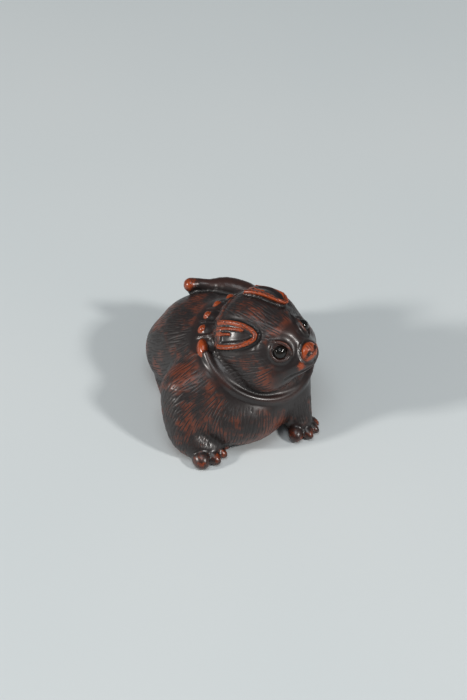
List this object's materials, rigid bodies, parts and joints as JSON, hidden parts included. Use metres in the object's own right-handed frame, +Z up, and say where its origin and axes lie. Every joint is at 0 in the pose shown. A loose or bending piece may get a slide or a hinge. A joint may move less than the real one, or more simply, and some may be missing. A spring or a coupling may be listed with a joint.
{
  "type": "carved netsuke",
  "caption": "Pocket-size boxwood carving of a crouching puppy with its head turned up, folded ears, inlaid eyes and a collar frilled at the nape.",
  "frame": {"origin": "middle of the ground that the carving covers, on the plane of its flat underside", "axes": "+Z up, the puppy's chest faces -Y and its left side is +X"},
  "size_m": [0.0388, 0.0451, 0.0327],
  "materials": {
    "stained_boxwood": "dark red-brown stain over engraved hair, worn to orange on the high places, waxed to a soft gloss",
    "dark_horn": "polished near-black horn"
  },
  "bodies": {
    "root": {"puppy": "stained_boxwood", "eye_right": "dark_horn", "eye_left": "dark_horn"}
  },
  "joints": []
}
